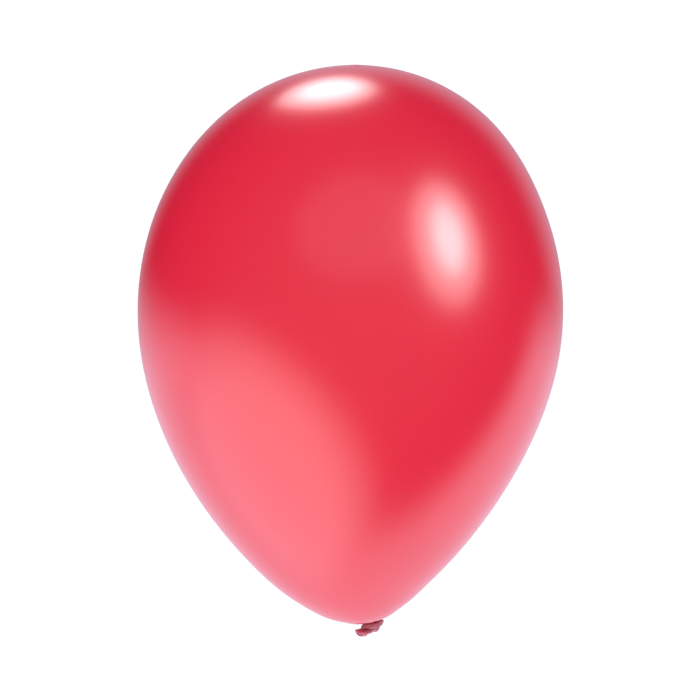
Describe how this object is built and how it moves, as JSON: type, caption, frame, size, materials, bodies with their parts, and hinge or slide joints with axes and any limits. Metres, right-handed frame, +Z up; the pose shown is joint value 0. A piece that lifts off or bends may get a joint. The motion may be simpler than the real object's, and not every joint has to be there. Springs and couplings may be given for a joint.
{
  "type": "latex balloon",
  "caption": "Inflated pear-shaped latex party balloon, tied off, with a short neck, knot, flattened tail and rolled lip.",
  "frame": {"origin": "middle of the neck tie, the short waist between the film and the knot where a ribbon goes", "axes": "+Z up along the film's long axis to the crown, +X to the side that the neck leans to, +Y to the back"},
  "size_m": [0.2789, 0.279, 0.3835],
  "materials": {
    "pearl_film": "stretched pearl latex film, glossy with a fine metallic lustre",
    "pearl_film_thick": "less stretched pearl latex, deeper colour, satin",
    "unstretched_latex": "unstretched pearl latex, dark and satin"
  },
  "bodies": {
    "film": {"envelope": "pearl_film", "crown_nipple": "pearl_film_thick", "neck_gather": "pearl_film_thick"},
    "neck": {"neck_stem": "unstretched_latex"},
    "knot": {"knot_loop": "unstretched_latex", "knot_core": "unstretched_latex"},
    "tail": {"tail": "unstretched_latex", "lip": "unstretched_latex"}
  },
  "joints": [
    {"name": "neck_twist", "type": "hinge", "parent": "film", "child": "neck", "pos_m": [0, 0, 0], "axis": [-0.2636, -0.0806, 0.9613], "range_deg": [-180, 180], "stiffness_Nm_per_rad": 0.0005},
    {"name": "knot_tilt", "type": "hinge", "parent": "neck", "child": "knot", "pos_m": [0, 0, 0], "axis": [-0.0108, 0.9967, 0.0806], "range_deg": [-20, 15], "stiffness_Nm_per_rad": 0.001},
    {"name": "tail_flex", "type": "hinge", "parent": "knot", "child": "tail", "pos_m": [-0.00253, -0.00085, -0.00597], "axis": [-0.6356, 0.7556, 0.1583], "range_deg": [-60, 25], "stiffness_Nm_per_rad": 0.0003}
  ]
}
